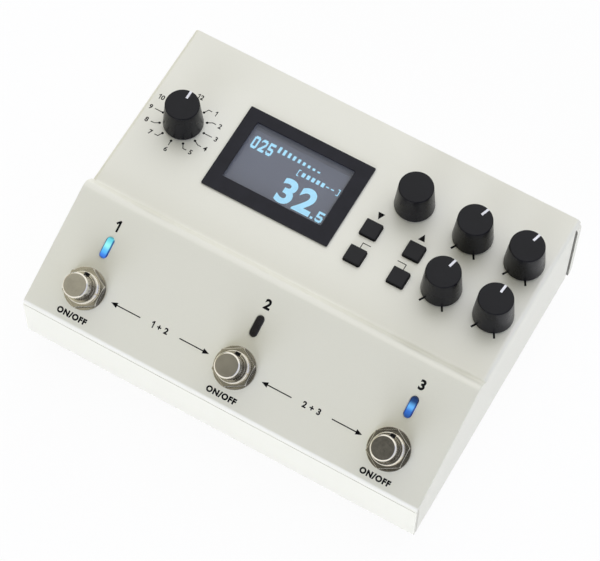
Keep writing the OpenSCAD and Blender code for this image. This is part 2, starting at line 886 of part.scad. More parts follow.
module mode_knob() knob(mode_control);
module value_knob() knob(value_control);
module feedback_knob() knob(feedback_control);
module level_knob() knob(level_control);
module time_knob() knob(time_control);
module depth_knob() knob(depth_control);

// A shaft stands on the rotor that turns inside its control, and its flat starts above the neck
module shaft(i) color(steel)
    translate([knob_places[i].x, knob_places[i].y, 0]) {
        bar(rotor_d, rotor_t, deck_z + pot_floor + rotor_gap);
        bar(shaft_d, panel_z + neck_h - deck_z - pot_floor - rotor_gap, deck_z + pot_floor + rotor_gap);
        translate([0, 0, panel_z + neck_h - cut])
            flatted_bar(0, knob_gap + knob_h - knob_crown - neck_h + cut - rotor_gap);
    }

module mode_shaft() shaft(mode_control);
module value_shaft() shaft(value_control);
module feedback_shaft() shaft(feedback_control);
module level_shaft() shaft(level_control);
module time_shaft() shaft(time_control);
module depth_shaft() shaft(depth_control);

// The body of a control, between its board and the panel, with its threaded neck and rotor chamber
module control(i, w)
    translate([knob_places[i].x, knob_places[i].y, 0]) difference() {
        union() {
            block(w, w, pot_h, deck_z);
            bar(neck_d, neck_h + sheet + cut, under_z - cut);
        }
        bar(shaft_d + 2 * turn_fit, pot_h + sheet + neck_h, deck_z + pot_floor);
        bar(rotor_d + 2 * rotor_gap, rotor_t + 2 * rotor_gap, deck_z + pot_floor);
    }

module mode_switch() color(plastic) control(mode_control, mode_body_w);
module value_encoder() color(plastic) control(value_control, encoder_w);
module control_pots() color(plastic)
    for (i = [feedback_control, level_control, time_control, depth_control]) control(i, pot_w);

module control_nuts() color(steel)
    for (p = knob_places)
        translate([p.x, p.y, 0]) difference() {
            hex(neck_nut_flats, neck_nut_t, panel_z);
            bar(neck_d + 2 * seat_fit, neck_nut_t + 2 * cut, panel_z - cut);
        }

// Rear connectors

module phone_jack(i) color(plastic)
    on_rear_wall(jack_places[i], jack_z) difference() {
        union() {
            bar(jack_neck_d, jack_proud + rear_t + cut, -rear_t - cut);
            block(jack_body_w, jack_body_h, jack_body_l, -rear_t - jack_body_l);
        }
        bar(jack_bore_d, jack_bore_l + cut, jack_proud - jack_bore_l);
    }

module input_jack_left() phone_jack(0);
module input_jack_right() phone_jack(1);
module output_jack_left() phone_jack(2);
module output_jack_right() phone_jack(3);
module pedal_jack() phone_jack(4);

module jack_washers() color(steel)
    for (x = jack_places)
        on_rear_wall(x, jack_z) difference() {
            bar(jack_washer_d, jack_washer_t);
            bar(jack_neck_d + 2 * slide_fit, jack_washer_t + 2 * cut, -cut);
        }

module jack_nuts() color(steel)
    for (x = jack_places)
        on_rear_wall(x, jack_z) difference() {
            hex(jack_nut_flats, jack_nut_t, jack_washer_t);
            bar(jack_neck_d + 2 * seat_fit, jack_nut_t + 2 * cut, jack_washer_t - cut);
        }

module dc_inlet() color(black)
    on_rear_wall(inlet_x, inlet_z) {
        difference() {
            union() {
                bar(inlet_collar_d, inlet_lip + rear_t + cut, -rear_t - cut);
                block(inlet_w, inlet_h, inlet_l, -rear_t - inlet_l);
            }
            bar(inlet_bore_d, inlet_bore_l + cut, inlet_lip - inlet_bore_l);
        }
        bar(inlet_pin_d, inlet_pin_l + cut, inlet_lip - inlet_bore_l - cut);
    }

module power_switch() color(plastic)
    on_rear_wall(power_x, power_z) difference() {
        block(power_body_w, power_body_w, power_body_l, -rear_t - power_body_l);
        bar(power_collar_d + 2 * fit, power_chamber + cut, -rear_t - power_chamber);
        bar(power_stem_d + 2 * slide_fit, power_body_l, power_floor - rear_t - power_body_l);
    }

power_shoulder = -rear_t - fit;
power_under = power_shoulder - power_collar_t;
power_outline = rounded(
    [
        [0, power_under - power_stem_l], [power_stem_d / 2, power_under - power_stem_l],
        [power_stem_d / 2, power_under], [power_collar_d / 2, power_under],
        [power_collar_d / 2, power_shoulder], [power_d / 2, power_shoulder],
        [power_d / 2, power_proud], [0, power_proud]
    ],
    [0, 0, 0, 0, 0, 0, power_round, 0]
);

module power_button() color(black)
    on_rear_wall(power_x, power_z) rotate_extrude() polygon(power_outline);

top_cover();
base_chassis();
rubber_feet();
base_screws();
display_bezel();
display_lens();
lcd_module();
panel_board();
main_board();
board_chips();
board_standoffs();
board_screws();
board_link();
led_board();
led_board_screws();
leds();
led_lens_left();
led_lens_middle();
led_lens_right();
switch_bodies();
switch_nuts();
switch_washers();
foot_button_left();
foot_button_middle();
foot_button_right();
key_switches();
key_down();
key_up();
key_exit();
key_edit();
mode_knob();
value_knob();
feedback_knob();
level_knob();
time_knob();
depth_knob();
mode_shaft();
value_shaft();
feedback_shaft();
level_shaft();
time_shaft();
depth_shaft();
mode_switch();
value_encoder();
control_pots();
control_nuts();
input_jack_left();
input_jack_right();
output_jack_left();
output_jack_right();
pedal_jack();
jack_nuts();
jack_washers();
dc_inlet();
power_switch();
power_button();
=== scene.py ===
import json
import math
import re

import bpy
from bpy.props import FloatProperty, FloatVectorProperty, PointerProperty
from mathutils import Matrix, Vector

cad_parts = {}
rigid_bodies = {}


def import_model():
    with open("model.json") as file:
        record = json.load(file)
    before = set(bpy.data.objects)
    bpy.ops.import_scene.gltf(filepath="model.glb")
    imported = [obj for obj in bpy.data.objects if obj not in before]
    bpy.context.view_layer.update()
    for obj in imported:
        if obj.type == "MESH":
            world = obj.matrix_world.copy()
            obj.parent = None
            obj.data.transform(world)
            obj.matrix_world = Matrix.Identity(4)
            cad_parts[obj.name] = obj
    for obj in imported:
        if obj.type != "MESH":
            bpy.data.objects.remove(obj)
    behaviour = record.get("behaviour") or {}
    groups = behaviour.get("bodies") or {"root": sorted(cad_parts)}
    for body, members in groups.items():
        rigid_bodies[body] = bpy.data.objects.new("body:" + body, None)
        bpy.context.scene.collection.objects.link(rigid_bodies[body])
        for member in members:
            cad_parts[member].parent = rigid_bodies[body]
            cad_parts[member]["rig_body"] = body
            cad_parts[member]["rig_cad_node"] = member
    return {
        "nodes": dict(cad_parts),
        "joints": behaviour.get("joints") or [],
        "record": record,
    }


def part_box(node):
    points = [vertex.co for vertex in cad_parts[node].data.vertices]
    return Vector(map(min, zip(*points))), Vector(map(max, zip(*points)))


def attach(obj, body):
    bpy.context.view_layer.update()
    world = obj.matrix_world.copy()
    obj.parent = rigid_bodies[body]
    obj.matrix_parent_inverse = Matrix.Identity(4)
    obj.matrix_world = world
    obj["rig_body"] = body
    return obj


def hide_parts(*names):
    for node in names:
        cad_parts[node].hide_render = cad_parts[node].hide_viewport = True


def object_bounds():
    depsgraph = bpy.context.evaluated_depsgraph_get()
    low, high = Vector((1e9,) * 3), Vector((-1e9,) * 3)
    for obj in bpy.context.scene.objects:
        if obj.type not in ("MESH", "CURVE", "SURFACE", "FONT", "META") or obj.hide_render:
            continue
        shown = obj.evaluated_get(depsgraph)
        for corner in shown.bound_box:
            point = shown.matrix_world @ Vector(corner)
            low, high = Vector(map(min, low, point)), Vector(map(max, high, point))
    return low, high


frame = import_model()
cad_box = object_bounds()

bl_info = {
    "name": "Floor pedal looks",
    "version": (1, 0, 0),
    "blender": (4, 5, 0),
    "location": "View3D > Sidebar > Pedal",
    "description": "Finishes, printed marks and small details for a floor pedal with three foot switches",
    "category": "Object",
}

# Lengths in metres and angles in radians for merging points, joining flat faces and smoothing edges
MM = 0.001
MERGE = 0.001 * MM
FLAT = math.radians(0.05)
SMOOTH = math.radians(32)

# CAD nodes that come in groups, and the record's slots and the frame's joints by name
KNOBS = ("mode", "value", "feedback", "level", "time", "depth")
POTS = KNOBS[2:]
SWITCHES = ("left", "middle", "right")
KEYS = ("down", "up", "exit", "edit")
JACKS = ("input_jack_left", "input_jack_right", "output_jack_left", "output_jack_right", "pedal_jack")
SLOTS = {s["node"]: s["material_slot"] for s in frame["record"]["subparts"]}
JOINTS = {j["name"]: j for j in frame["joints"]}


def middle(node):
    """Middle of a CAD node's box."""
    low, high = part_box(node)
    return (low + high) / 2


# Sizes of the CAD pieces that the details follow
WASHER_T = 1.2 * MM
NUT_TOP = 3.8 * MM
BUSH_H = 7 * MM
BUSH_R = 6 * MM
SLOT_W = 2 * MM
SLOT_DEPTH = 2.4 * MM
LAMP_UP = 17.4 * MM
LAMP_L = 8.4 * MM
LAMP_W = 2.9 * MM
LENS_RIM = 1.8 * MM
KNOB_TOP_R = 6.7 * MM
SCREW_R = 2.775 * MM
JACK_R = 4.7 * MM
JACK_NUT_TOP = 3.4 * MM

# Planes that the printed marks and the details stand on
PANEL_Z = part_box("control_nuts")[0].z
PANEL = Matrix.Translation((0, 0, PANEL_Z))
REAR_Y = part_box("base_chassis")[1].y
PRESS = Vector(JOINTS["foot_button_left_press"]["axis"])
TILT = math.atan2(PRESS.y, -PRESS.z)
FOOT_OUT = -PRESS
FOOT_UP = Vector((0, math.cos(TILT), math.sin(TILT)))
FOOT_ORIGIN = middle("switch_washers") - FOOT_OUT * WASHER_T / 2
FOOT = Matrix.Translation(FOOT_ORIGIN) @ Matrix.Rotation(TILT, 4, "X")
TO_FOOT = FOOT.inverted()
SWITCH_X = middle("foot_button_right").x
SWITCH_ROW = (-SWITCH_X, 0, SWITCH_X)
LENS_LOW, LENS_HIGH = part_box("display_lens")
LCD_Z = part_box("lcd_module")[1].z
LCD = Matrix.Translation((LENS_LOW.x + LENS_RIM, LENS_LOW.y + LENS_RIM, LCD_Z))

# Size of the display's window in millimetres
WINDOW_W, WINDOW_D = (LENS_HIGH - LENS_LOW).xy / MM - 2 * Vector((LENS_RIM, LENS_RIM)) / MM

# Least share of a face's normal that points out or in, for the face to count as a top or an inside
# Knob faces that are not tops take the darker side tint, as painted shade
KNOB_TOP = 0.9
# Key faces that are not tops take the darker side tint, as painted shade
KEY_TOP = 0.6
PLUNGER_TOP = 0.99
# Case faces that look inwards take the primer tint, darkened as painted shade in the gaps
CASE_INSIDE = 0.3

# Sides of a turned ring, and one turn of a thread in shares of its pitch and of its depth
SEGMENTS = 64
THREAD_TURN = ((0.2, 0), (0.45, 1), (0.6, 1), (0.85, 0))
THREAD_GAP = 0.01 * MM

# Weights of the printed characters
MEDIUM = 0.022
BOLD = 0.034
STRONG = 0.042
HEAVY = 0.058

# Printed figures in shares of their height: widths, stroke, stem and flag of a one, and half a plus sign
WIDTHS = {" ": 0.4, "1": 0.55}
DIGIT_W = 0.8
STROKE = 0.11
STEM_ASIDE = 0.1
FLAG_OUT = 0.28
FLAG_FOOT = 0.72
PLUS_HALF = 0.3

# Half the width and the whole length of a three-sided disc with a radius of 1
TRIANGLE_HALF = math.sqrt(0.75)
TRIANGLE_L = 1.5

# Dots of the display's digits, row by row from the top
DIGITS = {
    "0": ".#####. ####### ##...## ##...## ##...## ##...## ##...## ##...## ####### .#####.",
    "2": ".#####. ####### #....## .....## ....### ...###. ..###.. .###... ####### #######",
    "5": "####### ####### ##..... ##..... ######. ####### .....## #....## ####### .#####.",
}
DOT_OVERLAP = 1.04

# Tints of the light
PLAIN = (1, 1, 1)
COOL = (0.95, 1, 1.25)
CREAM = (1.02, 1, 0.92)
WARM = (1.04, 1, 0.8)
DEEP_BLUE = (0.05, 0.1, 0.3)

# Light across a lamp lens, as places and tints, with the two rims first
RIM = ((0, DEEP_BLUE), (1, DEEP_BLUE), (0.18, PLAIN), (0.82, PLAIN))

# Softboxes round the pedal: direction, cosines of the angles where the glow starts and where it is full,
# strength and tint
SOFTBOXES = (
    ((0, 0, 1), -0.2, 0.6, 0.055, CREAM),
    ((0, -1, 0.02), 0.8, 0.98, 5.5, COOL),
    ((-0.85, -0.3, 0.43), 0.62, 0.78, 0.48, WARM),
    ((0.1, 0.95, 0.3), 0.5, 0.96, 0.8, COOL),
    ((0.95, -0.1, 0.3), 0.5, 0.96, 0.72, COOL),
    ((-0.1, 0.68, 0.73), 0.5, 0.96, 1.06, PLAIN),
)

# The least and the most light that gloss shows of them
GLOSS_LEAST = (0.075, 0.073, 0.068)
GLOSS_MOST = PLAIN

# Camera and floor, with the sensor in millimetres and the rest in metres
SENSOR_W = 36
FAR = 20
FLOOR_W = 6
FLOOR_WHITE = 0.94

# Numbers of the sockets of a node that mixes colours
MIX_SHARE = 0
MIX_FIRST = 6
MIX_SECOND = 7
MIX_RESULT = 2


# Sizes and colours that a user may change


def length(name, default, text):
    """A length in millimetres as a property in metres."""
    size = default * MM
    return FloatProperty(name=name, description=text, default=size, min=0, precision=5, unit="LENGTH")


def angle(name, default, text):
    """An angle in degrees as a property in radians."""
    return FloatProperty(name=name, description=text, default=math.radians(default), subtype="ANGLE")


def colour(name, default, text):
    return FloatVectorProperty(name=name, description=text, default=default, min=0, max=1, subtype="COLOR")


class PedalSizes(bpy.types.PropertyGroup):
    """Sizes of the details that the looks add to the CAD model"""

    edge: length("Edge", 0.2, "Softened edges of the folded sheet")
    metal_edge: length("Metal edge", 0.25, "Chamfers on nuts, washers and bushings")
    plunger_edge: length("Plunger edge", 0.12, "Softened edges of the plungers")
    plastic_edge: length("Plastic edge", 0.15, "Softened edges of frame and connectors")
    lamp_edge: length("Lamp edge", 0.3, "Rounded edges of the lamp lenses")
    rubber_edge: length("Rubber edge", 0.2, "Softened edges of the feet")
    screw_edge: length("Screw edge", 0.5, "Rounded edges of the floor screws")
    ink: length("Ink", 0.03, "Thickness of the printed marks")
    line: length("Line", 0.32, "Width of the thin printed lines")
    dot: length("Dot", 1.0, "Diameter of the dots round the dial")
    dial: length("Dial", 9.1, "Radius of the ring of dots")
    dial_text: length("Dial numbers", 2.1, "Height of the numbers round the dial")
    switch_text: length("Switch numbers", 4.1, "Height of the numbers over the lamps")
    label_text: length("Switch labels", 2.5, "Height of the labels in front of the foot switches")
    tick_w: length("Tick width", 0.8, "Width of a knob's end marks")
    tick_l: length("Tick length", 2.6, "Length of a knob's end marks")
    tick_r: length("Tick radius", 8.4, "Radius at the middle of a knob's end marks")
    pointer_w: length("Pointer width", 1.0, "Width of the white line on a knob")
    pointer_l: length("Pointer length", 3.6, "Length of the white line on a knob")
    pointer_depth: length("Pointer depth", 0.3, "Depth of the groove that holds the white line")
    thread_pitch: length("Thread pitch", 0.75, "Pitch of the threads on bushings and jacks")
    thread_depth: length("Thread depth", 0.16, "Height of the threads on bushings and jacks")


class PedalColours(bpy.types.PropertyGroup):
    """Colours of the finishes"""

    paint: colour("Paint", (0.8, 0.785, 0.635), "Pearl white paint of the case")
    knob: colour("Knob", (0.0105, 0.0105, 0.012), "Moulded knobs")
    # Primer tint of the inside, darkened to paint the shade seen through the case's gaps
    primer: colour("Primer", (0.3, 0.29, 0.24), "Inside of the case")
    key: colour("Key", (0.013, 0.013, 0.014), "Moulded keys")
    bezel: colour("Frame", (0.012, 0.012, 0.017), "Frame round the display")
    nickel: colour("Nickel", (0.86, 0.82, 0.72), "Plated metal of the foot switches")
    worn: colour("Worn nickel", (0.73, 0.705, 0.665), "Top faces of the foot switch plungers")
    steel: colour("Steel", (0.5, 0.49, 0.47), "Plated screws and nuts")
    rubber: colour("Rubber", (0.016, 0.016, 0.016), "Rubber feet")
    ink: colour("Ink", (0.006, 0.0055, 0.0055), "Printed marks")
    pointer: colour("Pointer", (0.85, 0.85, 0.86), "White lines on the knobs")
    display: colour("Display", (0.092, 0.104, 0.143), "Dark ground of the display")
    digits: colour("Digits", (0.34, 0.72, 0.95), "Lit digits of the display")
    lamp_cyan: colour("Left lamp", (0.16, 0.83, 0.98), "Lit lamp on the left")
    lamp_dark: colour("Middle lamp", (0.012, 0.011, 0.012), "Dark lamp in the middle")
    lamp_blue: colour("Right lamp", (0.04, 0.2, 0.8), "Lit lamp on the right")
    jack: colour("Connectors", (0.015, 0.015, 0.016), "Moulded jacks, power inlet and power button")
    board: colour("Board", (0.02, 0.1, 0.04), "Circuit boards")
    chip: colour("Chips", (0.02, 0.02, 0.022), "Moulded parts on the boards")
    led: colour("Lights", (0.7, 0.75, 0.8), "Lights under the lamp lenses")


class PedalStage(bpy.types.PropertyGroup):
    """Camera and light"""

    lens: FloatProperty(name="Lens", description="Focal length on a 36 mm sensor", default=155.73, min=1)
    azimuth: angle("Azimuth", 28.359, "Turn of the camera round the pedal")
    elevation: angle("Elevation", 63.754, "Height of the camera above the horizon")
    roll: angle("Roll", 1.536, "Turn of the camera about its own axis")
    distance: length("Distance", 979.4, "Distance of the camera from the point it looks at")
    aim: FloatVectorProperty(name="Aim", description="Point that the camera looks at",
                             default=(2.055 * MM, -8.18 * MM, 35.103 * MM), precision=5, unit="LENGTH")
    light: FloatProperty(name="Light", description="Strength of all the softboxes", default=1, min=0)


def sizes():
    return bpy.context.scene.pedal_sizes


def colours():
    return bpy.context.scene.pedal_colours


# Selecting, copying and finishing pieces


def deselect():
    if bpy.context.mode != "OBJECT":
        bpy.ops.object.mode_set(mode="OBJECT")
    bpy.ops.object.select_all(action="DESELECT")


def activate(*pieces):
    """Selects these pieces alone, and makes the first one active."""
    deselect()
    for piece in pieces:
        piece.select_set(True)
    bpy.context.view_layer.objects.active = pieces[0]


def named(name):
    """Names the active object and its mesh."""
    piece = bpy.context.object
    piece.name = name
    piece.data.name = name
    return piece


def copy_of(node, name):
    """Copies a CAD node and merges its loose triangles into whole faces."""
    activate(frame["nodes"][node])
    bpy.ops.object.duplicate()
    piece = named(name)
    piece.parent = None
    del piece["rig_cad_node"]
    del piece["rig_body"]
    piece.data.materials.clear()
    bpy.ops.object.mode_set(mode="EDIT")
    bpy.ops.mesh.select_all(action="SELECT")
    bpy.ops.mesh.customdata_custom_splitnormals_clear()
    bpy.ops.mesh.remove_doubles(threshold=MERGE)
    bpy.ops.mesh.dissolve_limited(angle_limit=FLAT)
    bpy.ops.object.mode_set(mode="OBJECT")
    return piece


def modify(piece, kind, **settings):
    """Adds a modifier, sets it and applies it."""
    activate(piece)
    bpy.ops.object.modifier_add(type=kind)
    modifier = piece.modifiers[-1]
    for key, value in settings.items():
        setattr(modifier, key, value)
    bpy.ops.object.modifier_apply(modifier=modifier.name)


def smooth(piece):
    """Shades a piece smooth, apart from its sharp edges."""
    activate(piece)
    bpy.ops.object.shade_smooth_by_angle(angle=SMOOTH)


def soften(piece, width, segments=2):
    """Rounds the sharp edges and evens the shading of the flat faces."""
    modify(piece, "BEVEL", width=width, segments=segments, limit_method="ANGLE", angle_limit=SMOOTH)
    smooth(piece)
    modify(piece, "WEIGHTED_NORMAL", keep_sharp=True)


def cut(piece, cutter):
    """Takes the cutter's shape out of a piece and removes the cutter."""
    modify(piece, "BOOLEAN", object=cutter, operation="DIFFERENCE", solver="EXACT")
    activate(cutter)
    bpy.ops.object.delete()


def join(pieces, name):
    """Joins pieces into one and names it."""
    activate(*pieces)
    if len(pieces) > 1:
        bpy.ops.object.join()
    return named(name)


def put(piece, place):
    """Moves a piece to its place and leaves the place in its mesh."""
    activate(piece)
    piece.matrix_world = place @ piece.matrix_world
    bpy.ops.object.transform_apply(location=True, rotation=True, scale=True)
    return piece


def settle(piece, body, slot, *materials):
    """Gives a new piece its finish and lets it ride on a body."""
    for material in materials:
        piece.data.materials.append(material)
    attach(piece, body)
    return piece


def stand_for(piece, node, *materials):
    """Lets a piece take the place of a CAD node, on the node's own body."""
    settle(piece, frame["nodes"][node]["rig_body"], SLOTS[node], *materials)
    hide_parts(node)
    return piece


def dress(node, name, edge, *materials, segments=2):
    """Puts a copy with softened edges and a finish in the place of a CAD node."""
    piece = copy_of(node, name)
    soften(piece, edge, segments)
    return stand_for(piece, node, *materials)


def second_finish(piece, chosen):
    """Gives the faces that a test picks the second of a piece's finishes."""
    for face in piece.data.polygons:
        face.material_index = int(chosen(face))


def finish_node(material, *nodes):
    """Gives CAD nodes that keep their shape a finish."""
    for node in nodes:
        slots = frame["nodes"][node].data.materials
        slots.clear()
        slots.append(material)


# Simple shapes


def block(size, place):
    """A block of the given size, centred on a place."""
    deselect()
    bpy.ops.mesh.primitive_cube_add(size=1)
    piece = bpy.context.object
    piece.scale = size
    bpy.ops.object.transform_apply(location=True, rotation=True, scale=True)
    return put(piece, place)


def disc(radius, height, place, vertices=32):
    """A round or three-sided plate that stands on a place."""
    deselect()
    bpy.ops.mesh.primitive_cylinder_add(vertices=vertices, radius=radius, depth=height,
                                        location=(0, 0, height / 2))
    return put(bpy.context.object, place)


def turned(rings, place):
    """Turns a closed ring from pairs of radius and height, which run round its section."""
    was_r, was_z = rings[0]
    deselect()
    bpy.ops.mesh.primitive_circle_add(vertices=SEGMENTS, radius=was_r, location=(0, 0, was_z))
    piece = bpy.context.object
    bpy.ops.object.transform_apply(location=True, rotation=True, scale=True)
    bpy.ops.object.mode_set(mode="EDIT")
    bpy.ops.mesh.select_all(action="SELECT")
    for r, z in rings[1:] + rings[:1]:
        bpy.ops.mesh.extrude_region_move(TRANSFORM_OT_translate={"value": (0, 0, z - was_z)})
        share = r / was_r
        bpy.ops.transform.resize(value=(share, share, 1), center_override=(0, 0, z))
        was_r, was_z = r, z
    bpy.ops.mesh.select_all(action="SELECT")
    bpy.ops.mesh.remove_doubles(threshold=MERGE)
    bpy.ops.mesh.normals_make_consistent(inside=False)
    bpy.ops.object.mode_set(mode="OBJECT")
    return put(piece, place)


def thread(radius, bottom, top, place):
    """A threaded sleeve round a bushing."""
    pitch, depth = sizes().thread_pitch, sizes().thread_depth
    root = radius + THREAD_GAP
    rings = [(radius - depth, bottom), (root, bottom)]
    for i in range(int((top - bottom) / pitch)):
        low = bottom + i * pitch
        rings += [(root + out * depth, low + up * pitch) for up, out in THREAD_TURN]
    rings += [(root, top), (radius - depth, top)]
    return turned(rings, place)


# Printed marks, with places and sizes in millimetres, and heights of characters in metres


def spot(plane, x, y, turn=0):
    """A place on a plane."""
    return plane @ Matrix.Translation((x * MM, y * MM, 0)) @ Matrix.Rotation(turn, 4, "Z")


def bar(x, y, width, depth, plane, turn=0):
    """A printed bar on a plane."""
    return block((width * MM, depth * MM, 2 * sizes().ink), spot(plane, x, y, turn))


def line(start, end, plane, width=None):
    """A printed line from one point to another on a plane, a little longer at both ends."""
    run, rise = end[0] - start[0], end[1] - start[1]
    centre = ((start[0] + end[0]) / 2, (start[1] + end[1]) / 2)
    thick = (width or sizes().line) / MM
    return bar(*centre, math.hypot(run, rise) + thick / 2, thick, plane, math.atan2(rise, run))


def triangle(x, y, reach, half, plane, turn):
    """A printed triangle with a length and half a width, which points away from its base."""
    flat = Matrix.Diagonal((half / TRIANGLE_HALF * MM, reach / TRIANGLE_L * MM, 1, 1))
    place = spot(plane, x, y, turn) @ flat @ Matrix.Translation((0, 0, -sizes().ink))
    return disc(1, 2 * sizes().ink, place, vertices=3)


def word(text, height, plane, x, y, weight, width=None):
    """Printed characters of a height and a weight, with the middle of their lower edge at x and y."""
    thick, spacing = 0.02, 3
    deselect()
    bpy.ops.object.text_add()
    mark = bpy.context.object
    mark.data.body = text
    mark.data.offset = weight
    mark.data.space_character = 1 + spacing * weight
    mark.data.extrude = thick
    bpy.ops.object.convert(target="MESH")
    mark = bpy.context.object
    xs = [v.co.x for v in mark.data.vertices]
    ys = [v.co.y for v in mark.data.vertices]
    rise = height / (max(ys) - min(ys))
    run = width * MM / (max(xs) - min(xs)) if width else rise
    centre = (min(xs) + max(xs)) / 2
    fit = Matrix.Diagonal((run, rise, sizes().ink / thick, 1)) @ Matrix.Translation((-centre, -min(ys), 0))
    return put(mark, spot(plane, x, y) @ fit)


def figures(text, height, plane, x, y, weight):
    """A printed number or sum, centred on x, whose ones have a flag."""
    tall = height / MM
    stroke = (STROKE + 2 * weight) * height
    steps = [WIDTHS.get(character, DIGIT_W) * tall for character in text]
    at = x - sum(steps) / 2
    marks = []
    for character, step in zip(text, steps):
        centre = at + step / 2
        at += step
        if character == "1":
            stem = centre + STEM_ASIDE * tall
            flag = (stem - FLAG_OUT * tall, y + FLAG_FOOT * tall)
            marks.append(line((stem, y), (stem, y + tall), plane, stroke))
            marks.append(line((stem, y + tall), flag, plane, stroke))
        elif character == "+":
            half, level = PLUS_HALF * tall, y + tall / 2
            marks.append(line((centre - half, level), (centre + half, level), plane, stroke))
            marks.append(line((centre, level - half), (centre, level + half), plane, stroke))
        elif character != " ":
            marks.append(word(character, height, plane, centre, y, weight))
    return marks


def dots(number, x, y, width, height, gap=0):
    """Digits of the display from rows of square dots, with their lower left corner at x and y."""
    marks = []
    for i, digit in enumerate(number):
        rows = DIGITS[digit].split()
        dot_w, dot_h = width / len(rows[0]), height / len(rows)
        left = x + i * (width + gap)
        for j, row in enumerate(rows):
            level = y + height - dot_h * (j + 0.5)
            for run in re.finditer("#+", row):
                centre = left + dot_w * (run.start() + run.end()) / 2
                marks.append(bar(centre, level, dot_w * len(run[0]), DOT_OVERLAP * dot_h, LCD))
    return marks


# Helpers for shader nodes


def new_material(name):
    """A new material with its node tree and its shader."""
    material = bpy.data.materials.new(name)
    material.use_nodes = True
    return material, material.node_tree, material.node_tree.nodes["Principled BSDF"]


def set_inputs(node, values):
    """Sets a node's inputs by name or number: links a source, and writes a constant into the input."""
    for name, value in values.items():
        if isinstance(value, bpy.types.NodeSocket):
            node.id_data.links.new(value, node.inputs[name])
        else:
            node.inputs[name].default_value = value


def add_node(tree, kind, values, **settings):
    """A new node with its settings and its inputs."""
    node = tree.nodes.new("ShaderNode" + kind)
    for name, value in settings.items():
        setattr(node, name, value)
    set_inputs(node, values)
    return node


def place_of(tree):
    """Object coordinates."""
    return tree.nodes.new("ShaderNodeTexCoord").outputs["Object"]


def work_out(tree, kind, operation, first, second):
    """Outputs of a math node."""
    return add_node(tree, kind, {0: first, 1: second}, operation=operation).outputs


def noise(tree, scale, detail=3):
    """Noise with a given number of spots per metre."""
    values = {"Scale": scale, "Detail": detail, "Vector": place_of(tree)}
    return add_node(tree, "TexNoise", values).outputs["Fac"]


def bricks(tree, joint, width, height, **settings):
    """A share that is one in the joints between bricks, whose sizes are in millimetres."""
    values = {"Mortar Size": joint, "Brick Width": width, "Row Height": height, "Scale": 1 / MM}
    return add_node(tree, "TexBrick", {"Vector": place_of(tree), **values}, **settings).outputs["Fac"]


def spread(tree, source, low=0, high=1, start=0.3, end=0.7):
    """Spreads a value between two limits."""
    values = {"From Min": start, "From Max": end, "To Min": low, "To Max": high}
    return add_node(tree, "MapRange", {"Value": source, **values}).outputs["Result"]


def shade(tint, share):
    return tuple(share * channel for channel in tint)


def opaque(tint):
    return (*tint, 1)


def mix(tree, share, first, second, how="MIX"):
    """Mixes two colours by a share."""
    values = {MIX_SHARE: share, MIX_FIRST: first, MIX_SECOND: second}
    return add_node(tree, "Mix", values, data_type="RGBA", blend_type=how).outputs[MIX_RESULT]


def shades(tree, source, tint, low, high):
    """A tint that goes from a lower share of itself to a higher one with a value."""
    return mix(tree, source, opaque(shade(tint, low)), opaque(shade(tint, high)))


def bump(tree, height, strength, distance):
    """A normal that follows a height."""
    values = {"Height": height, "Strength": strength, "Distance": distance}
    return add_node(tree, "Bump", values).outputs["Normal"]


def ramp(tree, share, stops):
    """Colours along a share, from places and tints of which the first two are the ends."""
    node = add_node(tree, "ValToRGB", {"Fac": share})
    node.color_ramp.interpolation = "EASE"
    elements = node.color_ramp.elements
    for i, (place, tint) in enumerate(stops):
        stop = elements[i] if i < 2 else elements.new(place)
        stop.position = place
        stop.color = opaque(tint)
    return node.outputs["Color"]


def mix_shaders(tree, share, first, second):
    """Mixes two shaders by a share."""
    return add_node(tree, "MixShader", {0: share, 1: first, 2: second}).outputs[0]


# Materials


def pearl_paint():
    """Pearl white paint with fine flakes and a slight orange peel."""
    material, tree, shader = new_material("pearl_paint")
    flakes = add_node(tree, "TexVoronoi", {"Scale": 9000, "Vector": place_of(tree)})
    cells = add_node(tree, "SeparateColor", {"Color": flakes.outputs["Color"]})
    set_inputs(shader, {
        "Base Color": shades(tree, cells.outputs["Red"], colours().paint, low=0.98, high=1.02),
        "Roughness": spread(tree, cells.outputs["Green"], low=0.36, high=0.42, start=0, end=1),
        "Normal": bump(tree, noise(tree, scale=650, detail=2), strength=0.05, distance=0.02 * MM),
        "IOR": 3,
        "Coat Weight": 0.1,
        "Coat Roughness": 0.15,
    })
    return material


def moulded(name, tint, rough, grain, strength, gloss=0.5):
    """Moulded plastic or rubber with a fine grain."""
    material, tree, shader = new_material(name)
    mottle = noise(tree, scale=220, detail=4)
    set_inputs(shader, {
        "Base Color": shades(tree, spread(tree, mottle), tint, low=0.85, high=1.15),
        "Roughness": spread(tree, mottle, low=rough - 0.05, high=rough + 0.05),
        "Normal": bump(tree, noise(tree, grain, detail=2), strength, distance=0.02 * MM),
        "Specular IOR Level": gloss,
    })
    return material


def plated(name, tint, rough):
    """Plated metal with a fine grain."""
    material, tree, shader = new_material(name)
    grain = noise(tree, scale=900, detail=4)
    set_inputs(shader, {
        "Base Color": shades(tree, spread(tree, noise(tree, scale=160)), tint, low=0.9, high=1.08),
        "Roughness": spread(tree, grain, low=0.75 * rough, high=1.25 * rough),
        "Normal": bump(tree, grain, strength=0.05, distance=0.01 * MM),
        "Metallic": 1,
    })
    return material


def ink():
    return moulded("black_ink", colours().ink, rough=0.6, grain=4000, strength=0.05, gloss=0.1)


def display_ground():
    """Dark ground of the display with its fine grid of dots."""
    material, tree, shader = new_material("display_ground")
    tint = colours().display
    clouds = spread(tree, noise(tree, scale=30, detail=2))
    grid = bricks(tree, joint=0.02, width=0.33, height=0.33, offset=0)
    base = mix(tree, grid, shades(tree, clouds, tint, low=0.93, high=1.07), opaque(shade(tint, 0.8)))
    set_inputs(shader, {"Base Color": base, "Roughness": 0.35})
    return material


